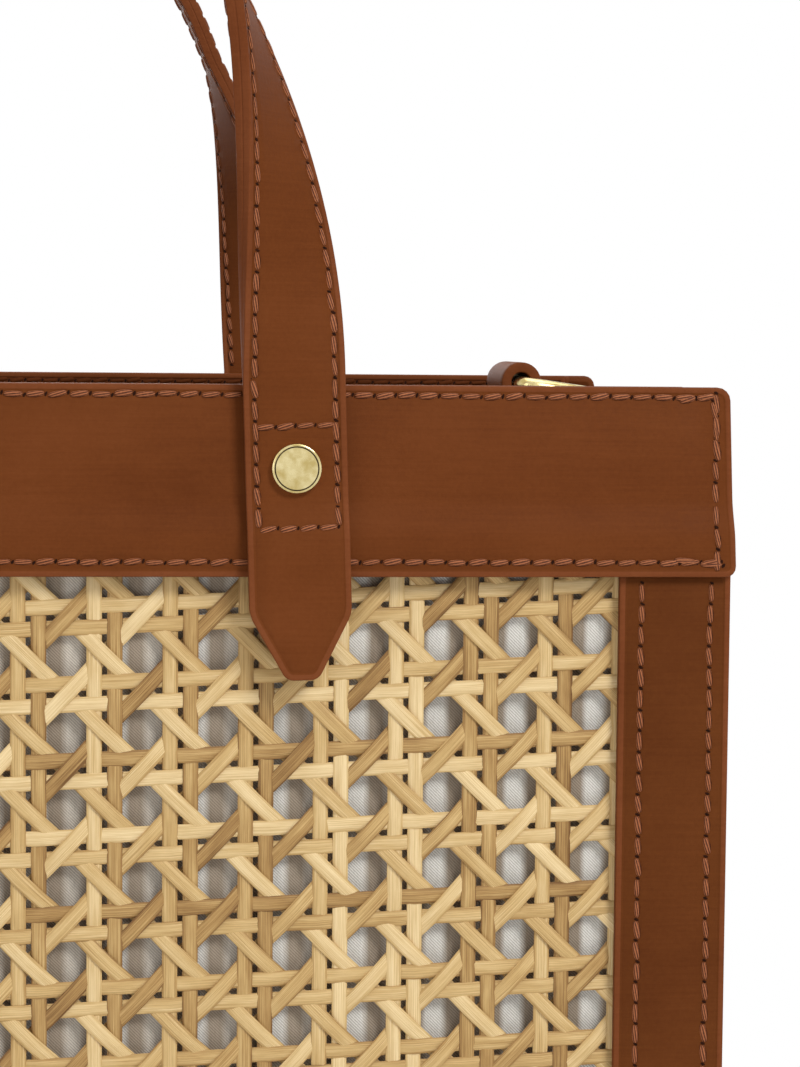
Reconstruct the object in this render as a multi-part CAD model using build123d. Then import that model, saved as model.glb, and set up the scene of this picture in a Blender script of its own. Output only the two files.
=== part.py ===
import os
from math import cos, radians, sin

from build123d import *

# Box basket bag: cane panels in a leather frame, soft pinched gussets and two twisted strap handles.
# Origin at the centre of the underside, +X to the wearer's right, front face towards -Y, +Z up.
# All sizes in millimetres.

# Box
bag_w = 292.0  # across the side strips
bag_d = 146.0  # between the outer faces of the front and back strips
bag_h = 246.0  # underside to top edge

# Sheet materials
leather_t = 1.8  # strips, bands and base
gusset_t = 1.5
facing_t = 1.4
facing_inset = 1.0  # band facing kept clear of the folded gusset, at each end
cloth_t = 0.6
seam_gap = 0.3  # play between pieces that are sewn side by side

# Frame of strips and bands
strip_w = 19.0
band_h = 32.0
band_lap = 6.0  # how far the band's lower edge covers the tops of the side strips
band_ramp = 7.5  # height over which the band steps out onto the strips
band_flare = 1.2  # how much wider the band is at its lower edge than at its top
band_corner = 1.0
edge_bevel = 0.35

# Cane webbing, drawn coarse: a core with octagonal gaps, uprights outside and rails inside
cane_core = 0.8
cane_ridge = 0.6
cane_columns = 11
cane_rows = 8
gap_w = 12.8
gap_h = 13.4
gap_chamfer = 3.9
strand_w = 2.9
strand_pair = 5.0  # between the centres of two strands of a pair
rim_h = 2.0  # facing folded over the cane's top edge

# Gussets
flange_w = 6.5  # sewn outward edge
gusset_drop = 3.2  # gusset edge below the bag's top edge
pinch = 22.3  # how far the wall is drawn in at the top centre
pinch_flat = 28.0  # straight part of the drawn-in wall
pinch_from = 95.0  # the wall starts to draw in at this height
pinch_drop = 28.0  # and is fully drawn in from this far below the top edge
pinch_spans = 4
fold_spans = 6

# Base
tray_h = 12.0  # upturned edge of the base leather
board_t = 2.0

# Handles
strap_w = 17.0
strap_t = 3.0
handle_x = 71.6  # strap centre at the top edge
handle_lean = 1.8  # degrees, each leg leans to the middle
handle_rise = 117.0  # strap centre above the top edge at the apex
leg_pull = 70.0  # straightness of the leg
crown_pull = 49.0  # roundness of the crown
twist_h = 68.0  # the strap has turned a quarter by this height
twist_ease = 1.15
arch_spans = 16
tab_l = 49.0
tab_shoulder = 38.0
tip_w = 5.3
tip_round = 1.5

# Rivets
rivet_drop = 13.8  # below the top edge
rivet_cap_r = 4.15
rivet_cap_t = 1.3
rivet_bevel = 0.5
rivet_post_r = 1.6
rivet_foot_r = 4.0
rivet_foot_t = 0.8
rivet_grip = 0.6  # how far the post enters the cap
rivet_play = 0.06
rivet_sides = 8
cap_sides = 20

# Strap rings and the tabs that hold them
ring_tab_w = 24.0
ring_tab_l = 20.0  # legs, from the gusset's edge down
ring_tab_t = 1.25
loop_in_r = 2.5
ring_wire_r = 1.5
ring_room = 2.0  # inner width of the ring beyond its tab
ring_arm = 5.0
ring_bend = 2.6
ring_tilt = 10.0  # degrees below level, where the ring lies
ring_play = 0.35
ring_sides = 8
bow_spans = 12
loop_sides = 16

# Depths from the middle plane to each layer of the front, outside in
strip_out = bag_d / 2
strip_in = strip_out - leather_t
cane_t = cane_core + 2 * cane_ridge
cane_in = strip_in - cane_t
lining_in = cane_in - cloth_t
facing_in = lining_in - facing_t
flange_in = strip_in - gusset_t
tab_out = strip_out + strap_t

# Heights
band_low = bag_h - band_h
strip_top = band_low + band_lap
ramp_top = strip_top + band_ramp
gusset_top = bag_h - gusset_drop
pinch_full = bag_h - pinch_drop
cane_top = bag_h - rim_h
board_top = leather_t + board_t
rivet_z = bag_h - rivet_drop

# Distances out from the middle along X
side = bag_w / 2
wall_in = side - flange_w
wall_out = wall_in + gusset_t
cane_side = wall_in - seam_gap
pinched_in = wall_in - pinch
ring_x = pinched_in + gusset_t / 2
rivet_x = handle_x + rivet_drop * sin(radians(handle_lean))


def block(x0, x1, y0, y1, z0, z1):
    middle = Pos((x0 + x1) / 2, (y0 + y1) / 2, (z0 + z1) / 2)
    return middle * Box(x1 - x0, y1 - y0, z1 - z0)


def front_slab(shape, inner, outer):
    # shape is drawn as seen from the front, inner and outer are depths from the middle plane
    return extrude(Plane.XZ.offset(inner) * shape, outer - inner)


def rivet_hole(x):
    # a post is clenched through the layers, so its hole is cut with the same eight-sided punch
    punch = Pos(x, rivet_z) * RegularPolygon(rivet_post_r + rivet_play, rivet_sides)
    return front_slab(punch, 0, bag_d)


def pierced(piece):
    return piece - rivet_hole(-rivet_x) - rivet_hole(rivet_x)


def flat_skin(sections):
    # a solid through sections of matching corners, each patch of its skin two flat triangles
    faces = [Face(Wire.make_polygon(sections[0])), Face(Wire.make_polygon(sections[-1]))]
    for low, high in zip(sections, sections[1:]):
        for here in range(len(low)):
            ahead = (here + 1) % len(low)
            if (high[ahead] - low[here]).length > (high[here] - low[ahead]).length:
                halves = [low[here], low[ahead], high[here]], [low[ahead], high[ahead], high[here]]
            else:
                halves = [low[here], low[ahead], high[ahead]], [low[here], high[ahead], high[here]]
            faces += [Face(Wire.make_polygon(corners)) for corners in halves]
    return Solid(Shell(faces))


def to_back(piece):
    return mirror(piece, about=Plane.XZ)


def to_left(piece):
    return mirror(piece, about=Plane.YZ)


# Frame

def bevelled(strip):
    outer_face = strip.faces().sort_by(Axis.Y)[0]
    return chamfer(outer_face.edges(), edge_bevel)


def side_strip():
    return bevelled(block(side - strip_w, side, -strip_out, -strip_in, 0, strip_top))


def bottom_strip():
    reach = side - strip_w
    return bevelled(block(-reach, reach, -strip_out, -strip_in, 0, strip_w))


def draped_skin(depth, z_low, z_high):
    # leather that lies flat at the top and steps out by one leather over the strip ends
    out = depth + leather_t
    return [(-depth, z_high), (-depth, ramp_top), (-out, strip_top), (-out, z_low)]


def draped_profile(inner, thick, z_low, z_high):
    back = draped_skin(inner, z_low, z_high)
    front = draped_skin(inner + thick, z_low, z_high)
    return make_face(Polyline(back + front[::-1], close=True))


def top_band():
    profile = draped_profile(strip_in, leather_t, band_low, bag_h)
    leaf = extrude(Plane.YZ * profile, side + band_flare, both=True)
    low = side + band_flare / 2
    high = side - band_flare / 2
    corners = [(-low, band_low), (low, band_low), (high, bag_h), (-high, bag_h)]
    outline = make_face(Polyline(corners, close=True))
    outline = fillet(outline.vertices().sort_by(Axis.Y)[-2:], band_corner)
    return pierced(leaf & front_slab(outline, facing_in, tab_out))


def band_facing():
    reach = cane_side - facing_inset
    inner_leaf = block(-reach, reach, -lining_in, -facing_in, band_low, bag_h)
    rim = block(-reach, reach, -strip_in, -lining_in, cane_top, bag_h)
    return pierced(inner_leaf + rim)


# Cane

def cane_panel():
    low = tray_h + seam_gap
    middle_z = (low + cane_top) / 2
    sheet = Pos(0, middle_z) * Rectangle(2 * cane_side, cane_top - low)
    pitch_x = 2 * (side - strip_w) / cane_columns
    pitch_z = (band_low - strip_w) / cane_rows
    view_z = (band_low + strip_w) / 2
    gap = Rectangle(gap_w, gap_h)
    gap = chamfer(gap.vertices(), gap_chamfer)
    gaps = Pos(0, view_z) * GridLocations(pitch_x, pitch_z, cane_columns, cane_rows)
    core_in = cane_in + cane_ridge
    core_out = core_in + cane_core
    shifts = (-strand_pair / 2, strand_pair / 2)
    uprights = []
    for column in range(cane_columns + 1):
        x = (column - cane_columns / 2) * pitch_x
        uprights += [Pos(x + shift, middle_z) * Rectangle(strand_w, cane_top - low) for shift in shifts]
    rails = []
    for row in range(cane_rows + 1):
        z = view_z + (row - cane_rows / 2) * pitch_z
        rails += [Pos(0, z + shift) * Rectangle(2 * cane_side, strand_w) for shift in shifts]
    panel = front_slab(sheet - gaps * gap, core_in, core_out)
    panel += front_slab(Sketch() + uprights, core_out, strip_in)
    panel += front_slab(Sketch() + rails, cane_in, core_in)
    return pierced(panel)


# Gussets, their lining and the base

def eased(share):
    return share * share * (3 - 2 * share)


def drawn_in(z):
    share = (z - pinch_from) / (pinch_full - pinch_from)
    return pinch * eased(min(max(share, 0), 1))


def wall_line(x, z):
    # one face of the gusset wall in plan at height z, folded in by the pinch
    points = []
    for step in range(fold_spans + 1):
        share = step / fold_spans
        y = flange_in + (pinch_flat / 2 - flange_in) * share
        points.append((x - drawn_in(z) * eased(share), -y))
    return points + [(out, -y) for out, y in reversed(points)]


def wall_section(x_in, thick, z):
    outline = wall_line(x_in, z) + wall_line(x_in + thick, z)[::-1]
    return [Vector(x, y, z) for x, y in outline]


def pinched_wall(x_in, thick, z_low, z_high):
    rise = (pinch_full - pinch_from) / pinch_spans
    levels = [pinch_from + rise * step for step in range(pinch_spans + 1)]
    levels = [z_low] + [z for z in levels if z < z_high] + [z_high]
    return flat_skin([wall_section(x_in, thick, z) for z in levels])


def gusset():
    wall = pinched_wall(wall_in, gusset_t, leather_t, gusset_top)
    top_side = side - band_flare / 2
    outline = [(wall_in, 0), (side, 0), (side, band_low), (top_side, gusset_top), (wall_in, gusset_top)]
    flange = front_slab(make_face(Polyline(outline, close=True)), flange_in, strip_in)
    return wall + flange + to_back(flange)


def side_lining():
    skin_play = 0.1
    sheet = pinched_wall(wall_in - cloth_t - skin_play, cloth_t, board_top, band_low)
    reach = lining_in - seam_gap
    return sheet & block(0, side, -reach, reach, 0, bag_h)


def face_lining():
    reach = wall_in - cloth_t
    return pierced(block(-reach, reach, -cane_in, -lining_in, board_top, cane_top))


def floor_lining():
    reach_x = cane_side - cloth_t
    reach_y = lining_in - seam_gap
    return block(-reach_x, reach_x, -reach_y, reach_y, board_top, board_top + cloth_t)


def base_tray():
    wall_face = strip_in - leather_t
    side_out = wall_out + leather_t
    tray = block(-side_out, side_out, -flange_in, flange_in, 0, leather_t)
    front_wall = block(-cane_side, cane_side, -strip_in, -wall_face, 0, tray_h)
    right_wall = block(wall_out, side_out, -flange_in, flange_in, 0, tray_h)
    return tray + front_wall + to_back(front_wall) + right_wall + to_left(right_wall)


def base_board():
    reach_y = strip_in - leather_t - seam_gap
    return block(-cane_side, cane_side, -reach_y, reach_y, leather_t, board_top)


# Handles

def handle_tab():
    profile = draped_profile(strip_out, strap_t, bag_h - tab_l - strap_t, bag_h + strap_t)
    slab = extrude(Plane.YZ * profile, handle_x + strap_w + tab_l)
    half = strap_w / 2
    shape = [(-half, 0), (-half, -tab_shoulder), (-tip_w / 2, -tab_l)]
    shape += [(-x, y) for x, y in reversed(shape)]
    outline = make_face(Polyline(shape, close=True))
    outline = fillet(outline.vertices().sort_by(Axis.Y)[:4], tip_round)
    outline = Pos(handle_x, bag_h) * Rot(0, 0, handle_lean) * outline
    return slab & front_slab(outline, facing_in, tab_out + strap_t)


def arch_half():
    lean = radians(handle_lean)
    leg = (handle_x - leg_pull * sin(lean), leg_pull * cos(lean))
    centre = Bezier((handle_x, 0), leg, (crown_pull, handle_rise), (0, handle_rise))
    sections = []
    for step in range(arch_spans + 1):
        along = step / arch_spans
        spot = centre @ along
        run = centre % along
        height = min(spot.Y / twist_h, 1)
        turn = radians(90 * (1 - (1 - height) ** twist_ease))
        place = Vector(spot.X, -strip_out - strap_t / 2, bag_h + spot.Y)
        across = Vector(run.Y * cos(turn), sin(turn), -run.X * cos(turn)).normalized() * strap_w / 2
        up = across.cross(Vector(run.X, 0, run.Y)).normalized() * strap_t / 2
        sections.append([place - across - up, place + across - up, place + across + up, place - across + up])
    return flat_skin(sections)


def handle():
    right_half = pierced(handle_tab()) + arch_half()
    return right_half + to_left(right_half)


# Rivets

def rivet_part(radius, sides, inner, outer):
    return front_slab(Pos(rivet_x, rivet_z) * RegularPolygon(radius, sides), inner, outer)


def rivet_cap():
    disc = rivet_part(rivet_cap_r, cap_sides, tab_out, tab_out + rivet_cap_t)
    disc = chamfer(disc.faces().sort_by(Axis.Y)[0].edges(), rivet_bevel)
    socket_end = tab_out + rivet_grip + rivet_play
    return disc - rivet_part(rivet_post_r + rivet_play, rivet_sides, tab_out, socket_end)


def rivet_post():
    shank = rivet_part(rivet_post_r, rivet_sides, facing_in, tab_out + rivet_grip)
    foot = rivet_part(rivet_foot_r, cap_sides, facing_in - rivet_foot_t, facing_in)
    return shank + foot


# Ring tabs and rings

def ring_tab():
    loop_out_r = loop_in_r + ring_tab_t
    legs_w = gusset_t + 2 * ring_tab_t
    legs_low = gusset_top - ring_tab_l
    legs = Pos(ring_x, (legs_low + bag_h) / 2) * Rectangle(legs_w, bag_h - legs_low)
    slit = Pos(ring_x, (legs_low + gusset_top) / 2) * Rectangle(gusset_t, ring_tab_l)
    eye = Pos(ring_x, bag_h) * RegularPolygon(loop_in_r, loop_sides)
    loop = Pos(ring_x, bag_h) * RegularPolygon(loop_out_r, loop_sides)
    return extrude(Plane.XZ * (loop + legs - eye - slit), ring_tab_w / 2, both=True)


def d_ring():
    half = (ring_tab_w + ring_room) / 2 + ring_wire_r
    bar_end = half - ring_bend
    round_end = bar_end - ring_wire_r
    outline = [(0, round_end), (0, bar_end), (ring_bend, half)]
    for step in range(bow_spans + 1):
        turn = radians(90 - 180 * step / bow_spans)
        outline.append((ring_arm + half * cos(turn), half * sin(turn)))
    outline += [(ring_bend, -half), (0, -bar_end), (0, -round_end)]
    tilt = radians(ring_tilt)
    bar_z = bag_h - loop_in_r + ring_wire_r + ring_play
    lie = Plane((ring_x, 0, bar_z), (cos(tilt), 0, -sin(tilt)), (sin(tilt), 0, cos(tilt)))
    path = lie * Wire(Polyline(outline).edges())
    wire_end = Plane(path @ 0, z_dir=path % 0) * RegularPolygon(ring_wire_r, ring_sides)
    bow = sweep(wire_end, path=path, transition=Transition.RIGHT)
    bar = Pos(ring_x, 0, bar_z) * Rot(90, 0, 0) * Cylinder(ring_wire_r, 2 * round_end)
    return bow + bar


# Every piece by name

nodes = {
    "base_panel": base_tray(),
    "base_board": base_board(),
    "lining_base": floor_lining(),
}
middle_pieces = {
    "cane": cane_panel(),
    "top_band": top_band(),
    "band_facing": band_facing(),
    "bottom_strip": bottom_strip(),
    "handle": handle(),
    "lining": face_lining(),
}
for name, piece in middle_pieces.items():
    nodes["front_" + name] = piece
    nodes["back_" + name] = to_back(piece)
corner_pieces = {
    "strip": side_strip(),
    "rivet_cap": rivet_cap(),
    "rivet_post": rivet_post(),
}
for name, piece in corner_pieces.items():
    nodes["front_right_" + name] = piece
    nodes["front_left_" + name] = to_left(piece)
    nodes["back_right_" + name] = to_back(piece)
    nodes["back_left_" + name] = Rot(0, 0, 180) * piece
side_pieces = {
    "gusset": gusset(),
    "lining": side_lining(),
    "ring_tab": ring_tab(),
    "d_ring": d_ring(),
}
for name, piece in side_pieces.items():
    nodes["right_" + name] = piece
    nodes["left_" + name] = to_left(piece)

os.makedirs("parts", exist_ok=True)
for name, piece in nodes.items():
    export_step(piece, "parts/" + name + ".step")
    print(name, round(piece.volume / 1000, 2), "cm3")
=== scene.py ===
import random
from bisect import bisect_left
from contextlib import contextmanager
from math import asin, ceil, copysign, cos, floor, hypot, pi, radians, sin, tanh

import bmesh
import bpy
from bpy import ops
from mathutils import Matrix, Vector


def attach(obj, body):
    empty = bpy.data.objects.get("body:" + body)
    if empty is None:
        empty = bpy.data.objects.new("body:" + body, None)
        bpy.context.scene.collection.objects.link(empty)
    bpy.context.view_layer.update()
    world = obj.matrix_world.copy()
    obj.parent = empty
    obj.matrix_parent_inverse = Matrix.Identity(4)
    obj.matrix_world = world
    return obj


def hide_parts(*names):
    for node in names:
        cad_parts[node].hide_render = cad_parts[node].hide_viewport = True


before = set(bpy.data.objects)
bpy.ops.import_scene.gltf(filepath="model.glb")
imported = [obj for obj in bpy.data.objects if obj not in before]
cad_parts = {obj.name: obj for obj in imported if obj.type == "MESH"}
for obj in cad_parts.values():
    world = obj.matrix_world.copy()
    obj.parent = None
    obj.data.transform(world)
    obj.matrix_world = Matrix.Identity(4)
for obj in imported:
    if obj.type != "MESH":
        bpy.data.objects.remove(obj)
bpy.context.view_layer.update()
mm = 0.001
sliver = 0.1 * mm  # less than any distance that counts
halfTurn = Matrix.Rotation(pi, 4, "Z")  # front to back, right to left
print("frame loaded")


# helpers for shapes

def freshStart():
    if bpy.context.object and bpy.context.object.mode != "OBJECT":
        ops.object.mode_set(mode="OBJECT")
    ops.object.select_all(action="DESELECT")


def makeActive(piece):
    freshStart()
    piece.select_set(True)
    bpy.context.view_layer.objects.active = piece


def named(piece, name):
    piece.name = name
    piece.data.name = name
    return piece


def addShape(name, kind, scale=(1, 1, 1), **values):
    freshStart()
    getattr(ops.mesh, "primitive_" + kind + "_add")(**values)
    piece = bpy.context.object
    piece.scale = scale
    ops.object.transform_apply(location=True, rotation=True, scale=True)
    return named(piece, name)


def addGrid(name, width, height, columns=1, rows=1, place=(0, 0, 0), tilt=0):
    return addShape(name, "grid", (width, height, 1), x_subdivisions=columns, y_subdivisions=rows,
                    size=1, location=place, rotation=(tilt, 0, 0))


@contextmanager
def picked(piece, kind="FACE", rule=lambda part: True):
    # edit mode with only the matching parts selected
    makeActive(piece)
    ops.object.mode_set(mode="EDIT")
    ops.mesh.select_mode(type=kind)
    ops.mesh.select_all(action="DESELECT")
    shape = bmesh.from_edit_mesh(piece.data)
    for part in getattr(shape, kind.lower() + "s"):
        if rule(part):
            part.select_set(True)
    shape.select_flush_mode()
    bmesh.update_edit_mesh(piece.data)
    yield
    ops.object.mode_set(mode="OBJECT")


def spanX(edge):
    return abs(edge.verts[0].co.x - edge.verts[1].co.x)


def addModifier(piece, kind, **values):
    modifier = piece.modifiers.new(kind.title(), kind)
    for key, value in values.items():
        setattr(modifier, key, value)


def roundEdges(piece, width, segments=2):
    addModifier(piece, "BEVEL", width=width, segments=segments, limit_method="ANGLE",
                angle_limit=radians(55))


def applyModifiers(piece):
    makeActive(piece)
    for name in [modifier.name for modifier in piece.modifiers]:
        ops.object.modifier_apply(modifier=name)


def cutAcross(piece, axis, places):
    # more edge loops for a shape that will be curved, cut one by one
    normal = [int(axis == letter) for letter in "XYZ"]
    with picked(piece):
        for place in places:
            ops.mesh.select_all(action="SELECT")
            ops.mesh.bisect(plane_co=[place * part for part in normal], plane_no=normal)


def sliceOff(piece, place, outward, fill=False):
    with picked(piece, "VERT"):
        ops.mesh.bisect(plane_co=place, plane_no=outward, clear_outer=True, use_fill=fill)


def roundCorners(piece, radius, rule=lambda vertex: True):
    with picked(piece, "VERT", rule):
        ops.mesh.bevel(offset=radius, segments=4, affect="VERTICES")


def evenSteps(start, end, count):
    return [start + (end - start) * step / count for step in range(1, count)]


def moveVertices(piece, where):
    for vertex in piece.data.vertices:
        vertex.co = where(vertex.co)
    piece.data.update()


def flatCoordinates(piece):
    # UV in metres, from the piece while it still lies flat
    lines = piece.data.uv_layers.active.data
    for loop in piece.data.loops:
        lines[loop.index].uv = piece.data.vertices[loop.vertex_index].co.xy


def wear(piece, *finishes):
    piece.data.materials.clear()
    for finish in finishes:
        piece.data.materials.append(finish)


def mark(piece, name, values):
    piece.data.attributes.new(name, "FLOAT", "POINT").data.foreach_set("value", values)


def turnOutwards(piece):
    with picked(piece):
        ops.mesh.normals_make_consistent(inside=False)


def smoothShade(piece, degrees=40):
    makeActive(piece)
    ops.object.shade_smooth_by_angle(angle=radians(degrees))
    return piece


def copyOf(piece, name, move=None):
    other = piece.copy()
    other.data = piece.data.copy()
    if move:
        other.data.transform(move)
    bpy.context.collection.objects.link(other)
    return named(other, name)


def joined(pieces, name):
    freshStart()
    for piece in pieces:
        piece.select_set(True)
    bpy.context.view_layer.objects.active = pieces[0]
    ops.object.join()
    return named(bpy.context.object, name)


def handIn(piece, node="", body="bag"):
    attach(piece, body)
    if node:
        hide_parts(node)


def opposite(name):
    # what a half turn makes of a name
    swaps = {"front": "back", "back": "front", "right": "left", "left": "right"}
    return "_".join(swaps.get(word, word) for word in name.split("_"))


def handInPair(piece, node="", body="bag"):
    other = copyOf(piece, opposite(piece.name), halfTurn)
    handIn(piece, node, body)
    handIn(other, opposite(node), opposite(body))


def eased(share):
    share = min(max(share, 0), 1)
    return share * share * (3 - 2 * share)


# the bag's sizes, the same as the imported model's
bag = {
    "halfWidth": 146 * mm,
    "depth": 73 * mm,  # middle plane to the outer face of the strips
    "height": 246 * mm,
    "leather": 1.8 * mm,
    "stripWidth": 19 * mm,
    "stripSteps": 12,
    "bandLow": 214 * mm,
    "stripTop": 220 * mm,
    "rampTop": 227.5 * mm,
    "rampSteps": 10,
    "bandFlare": 0.6 * mm,
    "bandCorner": 2.2 * mm,
    "bandLowCorner": 1.8 * mm,
    "bandSteps": 30,
}
edge, bagTop, frontDepth = bag["halfWidth"], bag["height"], bag["depth"]
inner = edge - bag["stripWidth"]
bandLow = bag["bandLow"]
bandHeight, bandMiddle = bagTop - bandLow, (bagTop + bandLow) / 2


# materials

def asColour(value):
    # a number is a plain grey, three parts are a screen colour, and four are used as they are
    if isinstance(value, float):
        return value, value, value, 1
    if len(value) == 4:
        return value
    shares = [part / 255 for part in value]
    return (*(part / 12.92 if part <= 0.04045 else ((part + 0.055) / 1.055) ** 2.4 for part in shares), 1)


class Paint:
    # the nodes of one material, or of the world
    def __init__(self, owner):
        owner.use_nodes = True
        self.owner = owner
        self.nodes = owner.node_tree.nodes
        self.shader = self.nodes.get("Principled BSDF")

    def join(self, source, target):
        # an output is linked, and a plain value is set
        if isinstance(source, bpy.types.NodeSocket):
            self.owner.node_tree.links.new(source, target)
        else:
            target.default_value = source

    def add(self, kind, **values):
        node = self.nodes.new("ShaderNode" + kind)
        for key, value in values.items():
            if hasattr(node, key):
                setattr(node, key, value)
            else:
                self.join(value, node.inputs[key])
        return node

    def where(self, kind="Object", stretch=(1, 1, 1)):
        source = self.add("TexCoord").outputs[kind]
        return self.add("Mapping", Vector=source, Scale=stretch).outputs["Vector"]

    def flat(self):
        return self.add("SeparateXYZ", Vector=self.where("UV")).outputs

    def noise(self, scale=1, detail=3, roughness=0.55, **where):
        node = self.add("TexNoise", Vector=self.where(**where), Scale=scale, Detail=detail,
                        Roughness=roughness)
        return node.outputs["Fac"]

    def ramp(self, source, *stops):
        node = self.add("ValToRGB", Fac=source)
        points = node.color_ramp.elements
        while len(points) < len(stops):
            points.new(0.5)
        for point, (position, colour) in zip(points, stops):
            point.position = position
            point.color = asColour(colour)
        return node.outputs["Color"]

    def combine(self, operation, first, second=0):
        node = self.add("Math", operation=operation)
        self.join(first, node.inputs[0])
        self.join(second, node.inputs[1])
        return node.outputs[0]

    def total(self, *parts):
        # each part is a source and its weight
        result = self.combine("MULTIPLY", *parts[0])
        for part in parts[1:]:
            result = self.combine("ADD", result, self.combine("MULTIPLY", *part))
        return result

    def set(self, name, source):
        self.join(source, self.shader.inputs[name])

    def colour(self, source, *stops):
        self.set("Base Color", self.ramp(source, *stops))

    def bump(self, height, strength, distance):
        node = self.add("Bump", Height=height, Strength=strength, Distance=distance)
        self.set("Normal", node.outputs["Normal"])


def newPaint(name, colour, roughness, metallic=0.0, shine=None):
    paint = Paint(bpy.data.materials.new(name))
    paint.set("Base Color", asColour(colour))
    paint.set("Roughness", roughness)
    paint.set("Metallic", metallic)
    if shine is not None:
        paint.set("Specular IOR Level", shine)
    return paint


def leather(name, gloss, dark, middle, light):
    paint = newPaint(name, middle, gloss, shine=0.03)
    cloudy = paint.noise(scale=38, detail=4)
    streaky = paint.noise(scale=4.5, detail=5, roughness=0.65, stretch=(14, 14, 420))
    grain = paint.noise(scale=1500, roughness=0.6)
    pores = paint.add("TexVoronoi", Vector=paint.where(), Scale=1100).outputs["Distance"]
    tone = paint.total((cloudy, 0.7), (streaky, 0.3), (paint.combine("SUBTRACT", grain, 0.5), 0.25))
    paint.colour(tone, (0.3, dark), (0.5, middle), (0.72, light))
    paint.bump(paint.total((pores, 0.5), (grain, 1), (streaky, 0.8)), 0.3, 0.1 * mm)
    worn = paint.total((grain, 0.5), (cloudy, 0.5))
    paint.set("Roughness", paint.ramp(worn, (0.3, gloss - 0.07), (0.7, gloss + 0.08)))
    return paint.owner


def speckled(name, colour, roughness, scale, detail, dark, light, shine=None, relief=0):
    paint = newPaint(name, colour, roughness, shine=shine)
    specks = paint.noise(scale, detail)
    paint.colour(specks, (0.3, dark), (0.7, light))
    if relief:
        paint.bump(specks, relief, 0.1 * mm)
    return paint.owner


def threadMaterial():
    # laid plies run along the stitch with a slow twist
    paint = newPaint("waxed thread", (150, 84, 56), 0.6, shine=0.25)
    flat = paint.flat()
    turns = paint.combine("SINE", paint.total((flat["X"], 37.7), (flat["Y"], 9)))
    plies = paint.combine("MULTIPLY_ADD", turns, 0.5)  # and 0.5 more, which is that node's own value
    tone = paint.total((plies, 0.6), (paint.noise(scale=2600), 0.5))
    paint.colour(tone, (0.2, (60, 26, 9)), (0.5, (120, 62, 32)), (0.85, (174, 108, 68)))
    paint.bump(plies, 0.7, 0.12 * mm)
    return paint.owner


def caneMaterial():
    paint = newPaint("peeled cane", (205, 174, 124), 0.48, shine=0.3)
    fibres = paint.noise(detail=5, roughness=0.62, kind="UV", stretch=(60, 7500, 1))
    blotches = paint.noise(detail=4, kind="UV", stretch=(85, 420, 1))
    tone = paint.add("Attribute", attribute_name="tone").outputs["Fac"]
    # rim darkens each strand towards its edges: painted shade
    rim = paint.add("Attribute", attribute_name="rim").outputs["Fac"]
    shade = paint.total((fibres, 0.66), (blotches, 0.34), (tone, 0.32), (rim, -0.13))
    paint.colour(shade, (0.36, (112, 76, 38)), (0.52, (172, 134, 80)), (0.66, (206, 172, 114)),
                 (0.88, (242, 216, 166)))
    paint.bump(fibres, 0.7, 0.14 * mm)
    return paint.owner


def twillMaterial():
    paint = newPaint("striped twill", (172, 166, 156), 0.85, shine=0.1)
    repeat = paint.combine("FRACT", paint.combine("DIVIDE", paint.flat()["X"], 13.6 * mm))
    light, grey, taupe = (240, 237, 230), (221, 212, 199), (176, 161, 143)
    stripes = paint.ramp(repeat, (0.0, light), (0.18, light), (0.27, taupe), (0.41, taupe), (0.5, grey),
                         (0.64, grey), (0.73, taupe), (0.93, taupe), (1.0, light))
    twill = paint.add("TexWave", Vector=paint.where("UV", (1150, 1150, 1150)), Scale=1,
                      Distortion=1.2, bands_direction="DIAGONAL", **{"Detail Scale": 2})
    slubs = paint.noise(detail=4, kind="UV", stretch=(2400, 500, 1))
    weave = paint.combine("MULTIPLY", twill.outputs["Fac"], slubs)
    # the low parts of the weave are multiplied darker: painted shade between the yarns
    weaveShade = paint.ramp(weave, (0.05, (0.56, 0.54, 0.51, 1)), (0.38, 1.0))
    mix = paint.add("Mix", data_type="RGBA", blend_type="MULTIPLY")
    for number, source in ((0, 0.8), (6, stripes), (7, weaveShade)):
        paint.join(source, mix.inputs[number])
    paint.set("Base Color", mix.outputs[2])
    paint.bump(weave, 0.4, 0.12 * mm)
    return paint.owner


def brassMaterial():
    paint = newPaint("pale brass", (206, 190, 146), 0.3, metallic=1)
    scuffs = paint.noise(scale=700, detail=4, stretch=(1, 1, 6))
    worn = paint.noise(scale=420)
    paint.colour(worn, (0.35, (196, 174, 112)), (0.6, (226, 210, 158)))
    dull = paint.combine("MULTIPLY", scuffs, worn)
    paint.set("Roughness", paint.ramp(dull, (0.15, 0.16), (0.4, 0.34)))
    paint.bump(worn, 0.2, 0.2 * mm)
    return paint.owner


saddleLeather = leather("saddle leather", 0.52, (97, 50, 22), (107, 57, 26), (115, 63, 31))
paintedEdge = leather("painted edge", 0.46, (107, 57, 30), (118, 65, 36), (129, 74, 43))
# the saddle leather a little darker for the strips: painted shade
shadedStripLeather = leather("strip leather", 0.52, (91, 47, 20), (100, 54, 24), (109, 60, 28))
innerLeather = leather("inner leather", 0.6, (72, 35, 15), (84, 42, 18), (96, 49, 23))
waxedThread = threadMaterial()
# near black for the flat lens at each stitch hole: painted shade of the hole
shadedStitchHoles = speckled("stitch holes", (48, 22, 10), 0.8, 3000, 2, (24, 9, 3), (50, 21, 8), 0.1)
# a dark leather colour for the lens under each stitch: painted shadow round the thread
paintedStitchShadow = speckled("pressed leather", (74, 36, 17), 0.7, 1500, 3, (48, 20, 7), (74, 34, 14), 0.1)
peeledCane = caneMaterial()
stripedTwill = twillMaterial()
paleBrass = brassMaterial()
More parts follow.
